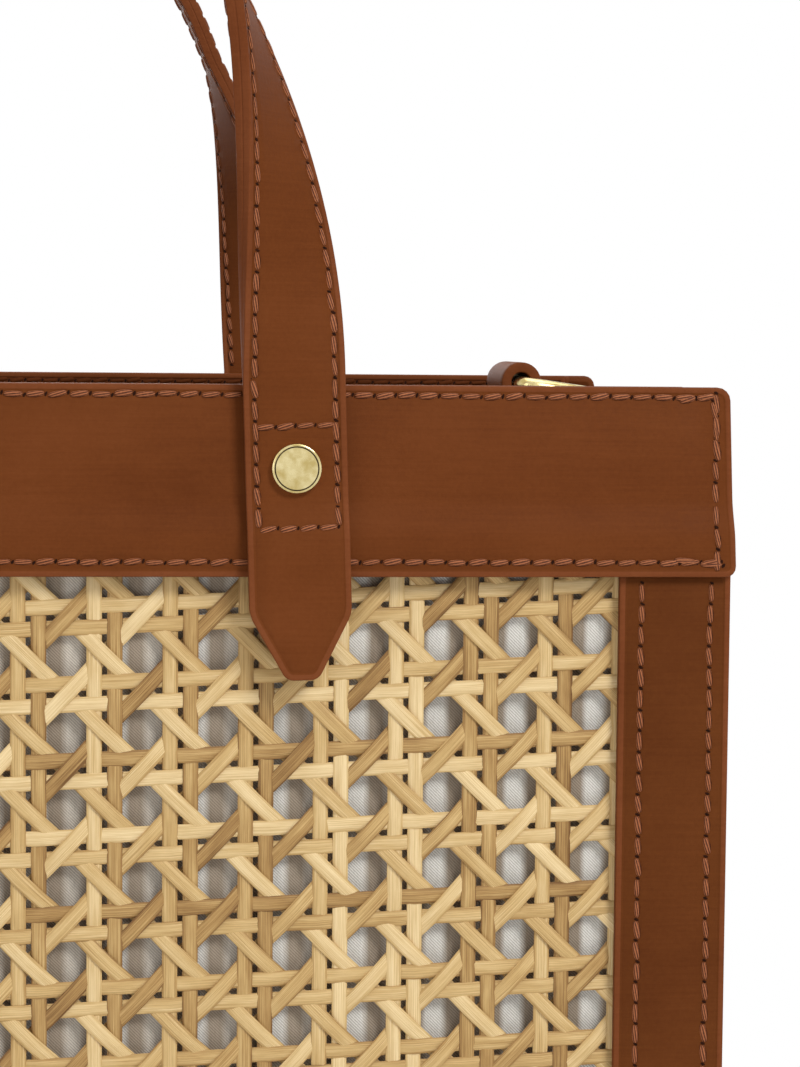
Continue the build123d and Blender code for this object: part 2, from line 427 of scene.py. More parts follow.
# darker brass for the groove round each rivet cap: tarnish, and painted shade of the groove
tarnish = speckled("tarnish", (96, 78, 44), 0.6, 1600, 3, (70, 54, 28), (122, 102, 62))
fibreBoard = speckled("fibre board", (122, 98, 70), 0.9, 900, 5, (98, 76, 52), (146, 120, 88), relief=0.3)
print("materials made")

# leather cut with a creased, painted border
leatherCut = {
    "border": 0.95 * mm,
    "creaseWidth": 0.3 * mm,
    "creaseDepth": 0.2 * mm,
    "edgeRound": 0.5 * mm,
}


def creaseBorder(piece):
    # a hot crease line runs inside the whole outline
    with picked(piece):
        ops.mesh.inset(thickness=leatherCut["border"], depth=0)
        for face in bmesh.from_edit_mesh(piece.data).faces:
            face.material_index = 0 if face.select else 1
        bmesh.update_edit_mesh(piece.data)
        for depth in (-leatherCut["creaseDepth"], leatherCut["creaseDepth"]):
            ops.mesh.inset(thickness=leatherCut["creaseWidth"], depth=depth)


def thicken(piece, thickness, offset=-1, rounding=leatherCut["edgeRound"], even=True, rim=0):
    addModifier(piece, "SOLIDIFY", thickness=thickness, offset=offset, use_even_offset=even,
                material_offset_rim=rim)
    roundEdges(piece, rounding)
    applyModifiers(piece)


def stripPlate(name, x0, x1, z0, z1, columns, rows):
    piece = addGrid(name, x1 - x0, z1 - z0, place=((x0 + x1) / 2, -frontDepth, (z0 + z1) / 2),
                    tilt=pi / 2)
    wear(piece, shadedStripLeather, paintedEdge)
    creaseBorder(piece)
    cutAcross(piece, "X", evenSteps(x0, x1, columns))
    cutAcross(piece, "Z", evenSteps(z0, z1, rows))
    thicken(piece, bag["leather"])
    return smoothShade(piece)


def bandDepth(z):
    # outer face of the top band: flat, then out over the strip ends
    share = (bag["rampTop"] - z) / (bag["rampTop"] - bag["stripTop"])
    return frontDepth + bag["leather"] * eased(share)


def bandSide(z):
    share = (bagTop - z) / bandHeight
    return edge - bag["bandFlare"] + 2 * bag["bandFlare"] * share


def topBand():
    piece = addGrid("front_band_leather", 2 * edge, bandHeight, place=(0, -frontDepth, bandMiddle),
                    tilt=pi / 2)
    roundCorners(piece, bag["bandCorner"], lambda vertex: vertex.co.z > bandMiddle)
    roundCorners(piece, bag["bandLowCorner"], lambda vertex: vertex.co.z < bandLow + sliver)
    wear(piece, saddleLeather, paintedEdge)
    creaseBorder(piece)
    cutAcross(piece, "Z", evenSteps(bag["stripTop"] - 1 * mm, bag["rampTop"] + 1 * mm, bag["rampSteps"]))
    cutAcross(piece, "X", evenSteps(-edge, edge, bag["bandSteps"]))

    def place(co):
        return Vector((co.x * bandSide(co.z) / edge, co.y + frontDepth - bandDepth(co.z), co.z))

    moveVertices(piece, place)
    thicken(piece, bag["leather"])
    return smoothShade(piece)


handInPair(topBand(), "front_top_band")
for side, x0, x1 in (("right", inner, edge), ("left", -edge, -inner)):
    node = "front_" + side + "_strip"
    strip = stripPlate(node + "_leather", x0, x1, 0, bag["stripTop"], 1, bag["stripSteps"])
    handInPair(strip, node)
lowStrip = stripPlate("front_bottom_strip_leather", -inner, inner, 0, bag["stripWidth"], bag["stripSteps"], 1)
handInPair(lowStrip, "front_bottom_strip")

facing = {
    "halfWidth": 138.2 * mm,
    "depth": 67.2 * mm,  # its inner face
    "thickness": 1.4 * mm,
    "steps": 12,
    "rimDepth": 71.2 * mm,
    "rimBack": 0.3 * mm,  # how far the fold stays behind the inner face
    "rimExtra": 1.8 * mm,
    "rimThickness": 1.9 * mm,
    "rimRound": 0.7 * mm,
}


def foldedRim():
    back = facing["depth"] + facing["rimBack"]
    reach = facing["rimDepth"] - facing["depth"] - facing["rimBack"]
    size = (2 * facing["halfWidth"] + facing["rimExtra"], reach, facing["rimThickness"])
    rim = addShape("rim", "cube", size, size=1, location=(0, -(back + reach / 2), bagTop - 1 * mm))
    wear(rim, innerLeather, paintedEdge)
    topZ = bagTop - 0.5 * mm
    with picked(rim, "EDGE", lambda edge: all(v.co.z > topZ for v in edge.verts) and spanX(edge) > 100 * mm):
        ops.mesh.bevel(offset=facing["rimRound"], segments=3)
    for face in rim.data.polygons:
        face.material_index = 1
    return rim


def bandFacing():
    # seen from inside the bag, so its good side faces the middle; the top is folded over the cane
    piece = addGrid("front_facing_leather", 2 * facing["halfWidth"], bandHeight,
                    place=(0, -facing["depth"], bandMiddle), tilt=-pi / 2)
    wear(piece, innerLeather, paintedEdge)
    creaseBorder(piece)
    cutAcross(piece, "X", evenSteps(-facing["halfWidth"], facing["halfWidth"], facing["steps"]))
    thicken(piece, facing["thickness"])
    smoothShade(piece)
    return joined([piece, foldedRim()], "front_facing_leather")


handInPair(bandFacing(), "front_band_facing")
print("frame leathers made")

# cane webbing
cane = {
    "halfWidth": 139 * mm,
    "low": 12.6 * mm,
    "high": 243.6 * mm,
    "depth": 70.2 * mm,  # middle of the web
    "across": 12.7 * mm,  # one mesh
    "down": 13.0 * mm,
    "rise": 0.04,  # the rows climb a little to the right
    "hole": (122.8 * mm, 177.9 * mm),  # centre of one hole
    "strand": 2.6 * mm,
    "thickness": 0.68 * mm,
    "crown": (0.6, 0.5),  # half-width and height of the strand's section, as shares
    "shoulder": (1, 0.14),
    "back": (0.86, -0.42),
    "pairUpright": 3.45 * mm,  # between the two strands of a pair
    "pairRail": 3.6 * mm,
    "float": 0.64 * mm,  # how far a diagonal rides over or under
    "snap": 1.8,  # how quickly it goes from over to under
    "lift": 0.32 * mm,  # how far a strand rides where two pairs cross
    "darker": (0.12, 0.15),  # share of dark strands, and how much darker
}
caneHalf, rise = cane["halfWidth"], cane["rise"]
meshX, meshZ = cane["across"], cane["down"]
holeX, holeZ = cane["hole"]


def meshAcross(x):
    return (x - holeX) / meshX


def meshDown(x, z):
    return (z - holeZ - rise * (x - holeX)) / meshZ


def strandModel(length, step):
    # a flat split strand lying along X, crowned on its outer face
    half, thick = cane["strand"] / 2, cane["thickness"]
    strand = addShape("strand", "cube", (length, cane["strand"], thick), size=1)
    with picked(strand, "EDGE", lambda edge: spanX(edge) > length / 2 and edge.verts[0].co.z > 0):
        ops.mesh.bevel(offset=thick * 0.5, segments=1)
    # the bevelled section is pushed to a low crown over a narrower back
    for vertex in strand.data.vertices:
        level = round(2 * vertex.co.z / thick)
        wide, up = cane["crown"] if level > 0 else cane["back"] if level < 0 else cane["shoulder"]
        vertex.co.y, vertex.co.z = wide * copysign(half, vertex.co.y), up * thick
    with picked(strand, "EDGE", lambda edge: spanX(edge) > length / 2):
        ops.mesh.subdivide(number_cuts=int(length / step))
    flatCoordinates(strand)
    # rim marks the outer share of each strand's width, where the cane's colour takes painted shade
    mark(strand, "rim", [float(abs(vertex.co.y) > 0.7 * half) for vertex in strand.data.vertices])
    return strand


def laidStrand(model, name, start, direction, height, tone, shift):
    # start and direction are in the plane of the panel, height gives how far the web floats there
    strand = copyOf(model, name)
    for line in strand.data.uv_layers.active.data:
        line.uv = (line.uv[0] + shift, line.uv[1] + shift)
    for vertex in strand.data.vertices:
        along, side, up = vertex.co
        x = start[0] + along * direction[0]
        z = start[1] + along * direction[1]
        vertex.co = (x - side * direction[1], -(cane["depth"] + up + height(x, z)), z + side * direction[0])
    mark(strand, "tone", [tone] * len(strand.data.vertices))
    return strand


def crossingWave(place, mesh, spacing):
    # +1 at the one strand of a pair, -1 at the other, 0 away from the pair
    place -= 0.5
    share = (place - round(place)) * mesh / spacing
    return cane["lift"] * sin(pi * share) if abs(share) < 1 else 0.0


def slantWave(x):
    # the sign is left to the diagonal's direction
    return cane["float"] * tanh(cane["snap"] * cos(2 * pi * meshAcross(x))) / tanh(cane["snap"])


def canePanel():
    dice = random.Random(11)
    width, tall = 2 * caneHalf, cane["high"] - cane["low"]
    middleZ = (cane["high"] + cane["low"]) / 2
    strands = []

    def lay(model, name, start, direction, height):
        share, amount = cane["darker"]
        tone = dice.random() - (amount if dice.random() < share else 0)
        strands.append(laidStrand(model, name, start, direction, height, tone, dice.random()))

    upright = strandModel(tall + 2 * mm, meshZ / 6)
    first = ceil(meshAcross(-caneHalf) - 0.5)
    last = floor(meshAcross(caneHalf) - 0.5)
    for column in range(first, last + 1):
        for hand in (-1, 1):
            x = holeX + (column + 0.5) * meshX + hand * cane["pairUpright"] / 2
            if abs(x) <= caneHalf - cane["strand"] / 2:
                lay(upright, "upright", (x, middleZ), (0, 1),
                    lambda x, z: -hand * crossingWave(meshDown(x, z), meshZ, cane["pairRail"]))

    rail = strandModel(width + 2 * mm, meshX / 6)
    slope = tuple(Vector((1, rise)).normalized())
    middleDown = meshDown(0, middleZ)
    reach = tall / meshZ / 2 + 1
    for row in range(floor(middleDown - reach), ceil(middleDown + reach)):
        for hand in (-1, 1):
            z = holeZ - rise * holeX + (row + 0.5) * meshZ
            lay(rail, "rail", (0, z + hand * cane["pairRail"] / 2), slope,
                lambda x, z: hand * crossingWave(meshAcross(x), meshX, cane["pairUpright"]))

    slant = strandModel(hypot(width, tall) + 6 * mm, meshX / 5)
    bothWays = reach + width / meshX / 2 + 1
    for hand in (-1, 1):  # -1 falls to the right, +1 climbs
        direction = Vector((1, rise + hand * meshZ / meshX)).normalized()
        centre = meshAcross(0) - hand * meshDown(0, middleZ)
        for line in range(floor(centre - bothWays), ceil(centre + bothWays)):
            share = line + 0.5 - centre
            start = Vector((share * meshX, middleZ + rise * share * meshX))
            # slides along the strand, nearest the middle
            start += direction * (Vector((0, middleZ)) - start).dot(direction)
            lay(slant, "slant", tuple(start), tuple(direction), lambda x, z: hand * slantWave(x))

    for model in (upright, rail, slant):
        bpy.data.objects.remove(model)
    panel = joined(strands, "front_cane_web")
    for hand in (-1, 1):
        sliceOff(panel, (hand * caneHalf, 0, 0), (hand, 0, 0), fill=True)
    for hand, z in ((-1, cane["low"]), (1, cane["high"])):
        sliceOff(panel, (0, 0, z), (0, 0, hand), fill=True)
    wear(panel, peeledCane)
    return smoothShade(panel, 60)


frontCane = canePanel()
print("cane triangles", sum(len(face.vertices) - 2 for face in frontCane.data.polygons))
handInPair(frontCane, "front_cane")
print("cane made")

# gussets and linings
gusset = {
    "inner": 139.5 * mm,
    "thickness": 1.5 * mm,
    "flangeDepth": 70.45 * mm,
    "flangeSteps": 3,
    "top": 242.8 * mm,
    "pinch": 22.3 * mm,
    "pinchFrom": 95 * mm,
    "pinchFull": 218 * mm,
    "flatHalf": 14 * mm,
    "foldFrom": 69.7 * mm,
    "cornerRound": 1.6 * mm,
    "cornerSteps": 4,
    "wallSteps": 24,
    "rows": 60,
    "edgeRound": 0.35 * mm,
}


def drawnIn(y, z):
    up = eased((z - gusset["pinchFrom"]) / (gusset["pinchFull"] - gusset["pinchFrom"]))
    share = (gusset["foldFrom"] - abs(y)) / (gusset["foldFrom"] - gusset["flatHalf"])
    return gusset["pinch"] * up * eased(share)


def gussetLine():
    # across the gusset in plan: flange, fold, wall, fold, flange
    wallX = gusset["inner"] + gusset["thickness"] / 2
    bend, flange = gusset["cornerRound"], gusset["flangeDepth"]
    steps = gusset["flangeSteps"]
    line = [(edge - share * (edge - wallX - bend) / steps, -flange) for share in range(steps + 1)]
    for step in range(1, gusset["cornerSteps"] + 1):
        turn = radians(90 * step / gusset["cornerSteps"])
        line.append((wallX + bend - bend * sin(turn), -flange + bend - bend * cos(turn)))
    reach = flange - bend
    for step in range(1, gusset["wallSteps"]):
        line.append((wallX, -reach + reach * step / gusset["wallSteps"]))
    return line + [(wallX, 0)] + [(x, -y) for x, y in reversed(line)]


def gussetLeather():
    line = gussetLine()
    count, rows = len(line) - 1, gusset["rows"]
    piece = addGrid("right_gusset_leather", count, rows, count, rows, (count / 2, rows / 2, 0))

    def place(co):
        x, y = line[round(co.x)]
        onWall = abs(y) < gusset["flangeDepth"] - gusset["cornerRound"] / 2
        low = bag["leather"] if onWall else 0.05 * mm
        z = low + (gusset["top"] - low) * co.y / rows
        if x > edge - 3 * mm:
            # the flange follows the band's flare
            x -= max(z - bandLow, 0) / bandHeight * 2 * bag["bandFlare"]
        return Vector((x - (drawnIn(y, z) if onWall else 0), y, z))

    moveVertices(piece, place)
    wear(piece, saddleLeather, paintedEdge)
    thicken(piece, gusset["thickness"], 0, gusset["edgeRound"], even=False, rim=1)
    turnOutwards(piece)
    return smoothShade(piece, 45)


handInPair(gussetLeather(), "right_gusset")

lining = {
    "low": 3.9 * mm,
    "high": 243.8 * mm,
    "depth": 68.9 * mm,
    "halfWidth": 138.7 * mm,
    "sideHigh": 214 * mm,
    "sideReach": 68.2 * mm,
    "sideGap": 0.45 * mm,
    "baseLevel": 4.1 * mm,
    "thickness": 0.35 * mm,
    "ripple": 0.12 * mm,
    "slack": 1.3 * mm,  # how far the cloth hangs off the cane away from its seams
    "slackWithin": 22 * mm,
}


def ripple(across, up):
    wave = sin(across * 95 + 2.1 * sin(up * 31)) + sin(up * 70 + 1.7 * sin(across * 42))
    return lining["ripple"] * wave


def slack(x, z):
    fromEdge = min(lining["halfWidth"] - abs(x), z - lining["low"], bandLow - 1 * mm - z)
    return lining["slack"] * eased(fromEdge / lining["slackWithin"])


def clothSheet(name, width, length, columns, rows, place):
    piece = addGrid(name, width, length, columns, rows)
    flatCoordinates(piece)
    moveVertices(piece, place)
    wear(piece, stripedTwill)
    addModifier(piece, "SOLIDIFY", thickness=lining["thickness"], offset=0)
    applyModifiers(piece)
    return smoothShade(piece)


wide, tall = 2 * lining["halfWidth"], lining["high"] - lining["low"]
sideWide, sideTall = 2 * lining["sideReach"], lining["sideHigh"] - lining["low"]


def frontSpot(co):
    z = (lining["high"] + lining["low"]) / 2 + co.y
    return Vector((co.x, -lining["depth"] - ripple(co.x, co.y) + slack(co.x, z), z))


def sideSpot(co):
    z = (lining["sideHigh"] + lining["low"]) / 2 + co.y
    x = gusset["inner"] - lining["sideGap"] - drawnIn(co.x, z) + 0.5 * ripple(co.x, co.y)
    return Vector((x, co.x, z))


def baseSpot(co):
    return Vector((co.x, co.y, lining["baseLevel"] + 0.3 * ripple(co.x, co.y)))


frontLining = clothSheet("front_lining_cloth", wide, tall, 70, 60, frontSpot)
backLining = copyOf(frontLining, "back_lining_cloth", halfTurn)
rightLining = clothSheet("right_lining_cloth", sideWide, sideTall, 60, 60, sideSpot)
leftLining = copyOf(rightLining, "left_lining_cloth", halfTurn)
baseLining = clothSheet("base_lining_cloth", wide, sideWide, 60, 40, baseSpot)
for piece, node, width, length, held, under in (
    (frontLining, "front_lining", wide, tall, "stretched", "front_cane_web"),
    (backLining, "back_lining", wide, tall, "stretched", "back_cane_web"),
    (rightLining, "right_lining", sideWide, sideTall, "stretched", "right_gusset_leather"),
    (leftLining, "left_lining", sideWide, sideTall, "stretched", "left_gusset_leather"),
    (baseLining, "lining_base", wide, sideWide, "laid", "base_board"),
):
    handIn(piece, node)
print("gussets and linings made")

# handles: one strap each, twisted a quarter turn up each leg
handle = {
    "x": 71.6 * mm,
    "lean": radians(1.8),
    "rise": 117 * mm,
    "legPull": 66 * mm,
    "crownPull": 49 * mm,
    "pathSteps": 240,
    "twistHeight": 68 * mm,
    "twistEase": 1.04,
    "width": 17 * mm,
    "thickness": 3 * mm,
    "steps": 210,
    "tab": 49 * mm,
    "shoulder": 11 * mm,  # tapered part at the tip
    "tipWidth": 5.3 * mm,
    "tipRound": 1.2 * mm,
    "edgeRound": 0.6 * mm,
    "seam": 0.22 * mm,
    "stitchInset": 1.83 * mm,
    "boxLow": 23.7 * mm,  # box stitching, below the top edge
    "boxHigh": 6.8 * mm,
    "insideStart": 2 * mm,  # the inner rows, above it
}


def archPath():
    # the centreline from the top edge to the crown: running length, place and run
    lean, pull, height = handle["lean"], handle["legPull"], handle["rise"]
    foot = Vector((handle["x"], 0))
    leg = Vector((handle["x"] - pull * sin(lean), pull * cos(lean)))
    bow, crown = Vector((handle["crownPull"], height)), Vector((0, height))
    path = []
    length = 0.0
    before = foot
    for step in range(handle["pathSteps"] + 1):
        t = step / handle["pathSteps"]
        u = 1 - t
        spot = u ** 3 * foot + 3 * t * u ** 2 * leg + 3 * t * t * u * bow + t ** 3 * crown
        run = u ** 2 * (leg - foot) + 2 * t * u * (bow - leg) + t * t * (crown - bow)
        length += (spot - before).length
        before = spot
        path.append((length, spot, run.normalized()))
    return path


arch = archPath()
strapHalf = handle["tab"] + arch[-1][0]
full = 2 * strapHalf


def archSpot(length):
    high = min(max(bisect_left(arch, length, key=lambda part: part[0]), 1), len(arch) - 1)
    (start, startSpot, startRun), (end, endSpot, endRun) = arch[high - 1:high + 1]
    share = (length - start) / (end - start)
    return startSpot.lerp(endSpot, share), startRun.lerp(endRun, share).normalized()


def strapFrame(along):
    # where the strap's centreline is at that length from its tip, and its run and width directions
    if along > strapHalf:
        place, run, across = strapFrame(full - along)
        return (Vector((-place.x, place.y, place.z)), Vector((run.x, -run.y, -run.z)),
                Vector((-across.x, across.y, across.z)))
    if along < handle["tab"]:
        below = handle["tab"] - along
        leanX, leanZ = sin(handle["lean"]), cos(handle["lean"])
        z = bagTop - below * leanZ
        place = Vector((handle["x"] + below * leanX, -(bandDepth(z) + handle["thickness"] / 2), z))
        return place, Vector((-leanX, 0, leanZ)), Vector((leanZ, 0, leanX))
    spot, run = archSpot(along - handle["tab"])
    height = min(spot.y / handle["twistHeight"], 1)
    turn = radians(90 * (1 - (1 - height) ** handle["twistEase"]))
    across = Vector((run.y * cos(turn), sin(turn), -run.x * cos(turn)))
    place = Vector((spot.x, -frontDepth - handle["thickness"] / 2, bagTop + spot.y))
    return place, Vector((run.x, 0, run.y)), across


def strapPoint(along, aside, up):
    place, run, across = strapFrame(min(max(along, 0), full))
    return place + across * aside + across.cross(run).normalized() * up


def strapLeather():
    half, thick = handle["width"] / 2, handle["thickness"]
    piece = addGrid("front_handle_strap", full, handle["width"], place=(strapHalf, 0, thick / 2))
    taper = Vector((handle["shoulder"], half - handle["tipWidth"] / 2))
    for end, inward in ((0, 1), (full, -1)):
        for hand in (-1, 1):
            outward = Vector((-taper.y * inward, taper.x * hand, 0)).normalized()
            sliceOff(piece, (end, hand * handle["tipWidth"] / 2, 0), outward)
    roundCorners(piece, handle["tipRound"])
    wear(piece, saddleLeather, paintedEdge)
    creaseBorder(piece)
    cutAcross(piece, "X", evenSteps(0, full, handle["steps"]))
    cutAcross(piece, "Y", evenSteps(-half, half, 4))
    # the two layers of the strap meet in a fine groove along its edge
    seam = handle["seam"]
    with picked(piece, "EDGE", lambda edge: edge.is_boundary):
        for drop in (seam - thick / 2, -seam):
            ops.mesh.extrude_region_move(TRANSFORM_OT_translate={"value": (0, 0, drop)})
    for vertex in piece.data.vertices:
        if abs(vertex.co.z) < seam / 2:
            vertex.co.y -= copysign(seam, vertex.co.y)
            vertex.co.x += seam if vertex.co.x < 1 * mm else -seam if vertex.co.x > full - 1 * mm else 0
    for face in piece.data.polygons:
        if abs(face.normal.z) < 0.3 and face.center.z < thick * 0.4:
            face.material_index = 1
    addModifier(piece, "MIRROR", use_axis=(False, False, True), merge_threshold=1e-6)
    applyModifiers(piece)
    turnOutwards(piece)
    roundEdges(piece, handle["edgeRound"], 3)
    applyModifiers(piece)
    moveVertices(piece, lambda co: strapPoint(*co))
    turnOutwards(piece)
    return smoothShade(piece)


handInPair(strapLeather(), "front_handle")
print("handles made")

# rivets, ring tabs and rings
rivet = {
    "radius": 4.15 * mm,
    "height": 1.3 * mm,
    "rim": 0.42 * mm,
    # inset and depth of each step
    "groove": ((0.07 * mm, -0.35 * mm), (0.1 * mm, 0), (0.07 * mm, 0.33 * mm)),
    "dome": ((0.7 * mm, 0.05 * mm), (1.1 * mm, 0.05 * mm)),
    "edgeRound": 0.3 * mm,
    "x": 72.03 * mm,
    "z": 232.2 * mm,
    "depth": 76 * mm,
}


def rivetCap():
    outer = -rivet["depth"] - rivet["height"]
    middle = (0, -rivet["depth"] - rivet["height"] / 2, 0)
    cap = addShape("cap", "cylinder", vertices=48, radius=rivet["radius"], depth=rivet["height"],
                   location=middle, rotation=(pi / 2, 0, 0))
    with picked(cap, "FACE", lambda face: face.calc_center_median().y < outer + sliver / 2):
        for thickness, depth in ((rivet["rim"], 0), *rivet["groove"], *rivet["dome"]):
            ops.mesh.inset(thickness=thickness, depth=depth)

    def onRim(vertex):
        fromRim = abs(Vector((vertex.co.x, vertex.co.z)).length - rivet["radius"])
        return fromRim < sliver / 10 and vertex.co.y < outer + sliver / 10

    with picked(cap, "EDGE", lambda edge: all(onRim(vertex) for vertex in edge.verts)):
        ops.mesh.bevel(offset=rivet["edgeRound"], segments=4)
    wear(cap, paleBrass, tarnish)
    # faces in the groove take the darker brass, tarnish and painted shade
    inside = rivet["radius"] - rivet["rim"]
    for face in cap.data.polygons:
        fromMiddle = hypot(face.center.x, face.center.z)
        if face.center.y < outer + 0.5 * mm and inside - 0.25 * mm < fromMiddle < inside:
            face.material_index = 1
    return smoothShade(cap, 35)


capModel = rivetCap()
for side, x in (("right", rivet["x"]), ("left", -rivet["x"])):
    place = Matrix.Translation((x, 0, rivet["z"]))
    for face, turned in (("front_", place), ("back_", place @ halfTurn)):
        node = face + side + "_rivet"
        handIn(copyOf(capModel, node + "_head", turned), node + "_cap")
bpy.data.objects.remove(capModel)

ringTab = {
    "x": 117.95 * mm,
    "width": 24 * mm,
    "columns": 8,
    "thickness": 1.9 * mm,
    "edgeRound": 0.3 * mm,
    "legLow": 222.8 * mm,
    "legSteps": 8,
    "loopZ": 245.75 * mm,
    "loopRadius": 2.85 * mm,  # to the middle of the leather
    "loopSteps": 24,
    "loopEase": 0.12,  # radians left free where the leg runs into the loop
    "legAside": 1.7 * mm,
    "legShort": 0.6 * mm,
    "stitchInset": 2.2 * mm,
    "stitchTop": 241.5 * mm,
}


def tabLine():
    # up one leg, round the ring, down the other leg, in the XZ plane
    aside, low, radius = ringTab["legAside"], ringTab["legLow"], ringTab["loopRadius"]
    start = asin(aside / radius)
    meet = ringTab["loopZ"] - radius * cos(start)
    steps, ease = ringTab["legSteps"], ringTab["loopEase"]
    leg = [(-aside, low + (meet - ringTab["legShort"] - low) * step / steps) for step in range(steps + 1)]
    loop = []
    for step in range(ringTab["loopSteps"] + 1):
        turn = start + ease + (2 * pi - 2 * start - 2 * ease) * step / ringTab["loopSteps"]
        loop.append((-radius * sin(turn), ringTab["loopZ"] - radius * cos(turn)))
    return leg + loop + [(-x, z) for x, z in reversed(leg)]


def tabLeather():
    line = tabLine()
    count = len(line) - 1
    width, columns = ringTab["width"], ringTab["columns"]
    piece = addGrid("right_ring_tab_leather", count, width, count, columns, (count / 2, 0, 0))
    moveVertices(piece, lambda co: Vector((ringTab["x"] + line[round(co.x)][0], co.y, line[round(co.x)][1])))
    wear(piece, saddleLeather, paintedEdge)
    thicken(piece, ringTab["thickness"], 0, ringTab["edgeRound"], rim=1)
    turnOutwards(piece)
    return smoothShade(piece, 50)


handInPair(tabLeather(), "right_ring_tab")

ring = {
    "barZ": 245.35 * mm,
    "wire": 1.5 * mm,
    "half": 14.5 * mm,
    "bend": 2.6 * mm,
    "arm": 5 * mm,
    "tilt": radians(8),
    "barSteps": 6,
    "bendSteps": 6,
    "bowSteps": 24,
}


def strapRing():
    # a wire bent to a D, its straight bar in the leather loop
    half, bend = ring["half"], ring["bend"]
    straight = half - bend
    bar = [(0, y * straight / ring["barSteps"]) for y in range(-ring["barSteps"], ring["barSteps"] + 1)]
    corner, bow = [], []
    for step in range(1, ring["bendSteps"] + 1):
        turn = radians(90 / ring["bendSteps"] * step)
        corner.append((bend - bend * cos(turn), straight + bend * sin(turn)))
    for step in range(ring["bowSteps"] + 1):
        turn = radians(180 / ring["bowSteps"] * step)
        bow.append((ring["arm"] + half * sin(turn), half * cos(turn)))
    outline = bar + corner + bow + [(out, -y) for out, y in reversed(corner)]
    wire = bpy.data.curves.new("wire", "CURVE")
    wire.dimensions = "3D"
    wire.bevel_depth = ring["wire"]
    wire.bevel_resolution = 6
    line = wire.splines.new("POLY")
    line.points.add(len(outline) - 1)
    for point, (out, y) in zip(line.points, outline):
        point.co = (ringTab["x"] + out * cos(ring["tilt"]), y, ring["barZ"] - out * sin(ring["tilt"]), 1)
    line.use_cyclic_u = True
    piece = bpy.data.objects.new("wire", wire)
    bpy.context.collection.objects.link(piece)
    makeActive(piece)
    ops.object.convert(target="MESH")
    piece = named(bpy.context.object, "right_ring_wire")
    turnOutwards(piece)
    wear(piece, paleBrass)
    return smoothShade(piece, 60)


handInPair(strapRing(), "right_d_ring", "right_ring")
print("rivets and rings made")

# stitching
stitch = {
    "pitch": 3.6 * mm,
    "length": 3.15 * mm,
    "width": 1.0 * mm,
    "height": 0.38 * mm,
    "under": 0.35,  # how much of the round is left on the underside
    "blunt": 0.6,
    "fuller": -0.4,
    "slant": radians(6),
    "hole": 0.3 * mm,
    "holeWidth": 0.44 * mm,
    "holeHeight": 0.1 * mm,
    # the lens under each stitch, set a little to one side: painted shadow of the thread
    "shadowLength": 3.7 * mm,
    "shadowWidth": 1.25 * mm,
    "shadowAside": 0.1 * mm,
    "shadowHeight": 0.05 * mm,
    "sway": 0.045,  # radians
    "drift": 0.06,  # mm
    "lengths": (0.95, 1.03),
    "widths": (0.86, 1.12),
    "heights": (0.85, 1.1),
    "rowParts": 40,
}


def stitchModel():
    thread = addShape("thread", "uv_sphere", segments=8, ring_count=6, radius=1, rotation=(0, pi / 2, 0))

    def threadSpot(co):
        # blunt ends, and flat underneath
        along = copysign(abs(co.x) ** stitch["blunt"], co.x)
        fuller = max(hypot(co.y, co.z), 0.01) ** stitch["fuller"]
        up = co.z * fuller if co.z > 0 else stitch["under"] * co.z
        aside = co.y * fuller * stitch["width"] / 2
        return Vector((along * stitch["length"] / 2, aside, up * stitch["height"]))

    def holeSpot(co):
        aside = (co.y + 0.5 * co.x) * stitch["holeWidth"]
        return Vector((stitch["pitch"] / 2 + co.x * stitch["hole"], aside, co.z * stitch["holeHeight"]))

    # painted shadow under the thread, a little larger than it
    def stitchShadowSpot(co):
        aside = co.y * stitch["shadowWidth"] / 2 - stitch["shadowAside"]
        return Vector((co.x * stitch["shadowLength"] / 2, aside, co.z * stitch["shadowHeight"]))

    # the hole is a flat lens on the surface, its dark colour painted shade
    hole = addShape("hole", "uv_sphere", segments=6, ring_count=3, radius=1)
    dent = addShape("dent", "uv_sphere", segments=8, ring_count=3, radius=1)
    for number, (piece, spot) in enumerate(((thread, threadSpot), (hole, holeSpot), (dent, stitchShadowSpot))):
        moveVertices(piece, spot)
        if piece is not hole:
            piece.data.transform(Matrix.Rotation(stitch["slant"], 4, "Z"))
        wear(piece, waxedThread, shadedStitchHoles, paintedStitchShadow)
        for face in piece.data.polygons:
            face.material_index = number
    model = joined([thread, hole, dent], "stitch")
    return smoothShade(model, 60)


def stitchRow(spot, start, end):
    # spot(a, b) gives a point on the surface and the surface's normal
    def at(share):
        return spot(*(first + (last - first) * share for first, last in zip(start, end)))

    length = 0.0
    before = at(0)[0]
    for step in range(1, stitch["rowParts"] + 1):
        here = at(step / stitch["rowParts"])[0]
        length += (here - before).length
        before = here
    count = max(round(length / stitch["pitch"]), 1)
    row = []
    for number in range(count):
        share = (number + 0.5) / count
        here, normal = at(share)
        along = (at(share + 0.2 / count)[0] - here).normalized()
        row.append((here, along, normal, length / count / stitch["pitch"]))
    return row


def levelRow(spot, half, height):
    return stitchRow(spot, (-half, height), (half, height))


def uprightRow(spot, aside, low, high):
    return stitchRow(spot, (aside, low), (aside, high))


def sewn(name, rows, model):
    # no two stitches are quite alike
    dice = random.Random(5)
    copies = []
    for row in rows:
        for here, along, normal, stretch in row:
            aside = normal.cross(along).normalized()
            turn = Matrix((along, aside, along.cross(aside))).transposed().to_4x4()
            sway = Matrix.Rotation(dice.gauss(0, stitch["sway"]), 4, "Z")
            drift = Matrix.Translation((0, dice.gauss(0, stitch["drift"]) * mm, 0))
            size = [dice.uniform(*stitch[key]) for key in ("lengths", "widths", "heights")]
            size = Matrix.Diagonal((stretch * size[0], size[1], size[2], 1))
            copies.append(copyOf(model, "stitch", Matrix.Translation(here) @ turn @ (sway @ drift) @ size))
    return joined(copies, name)


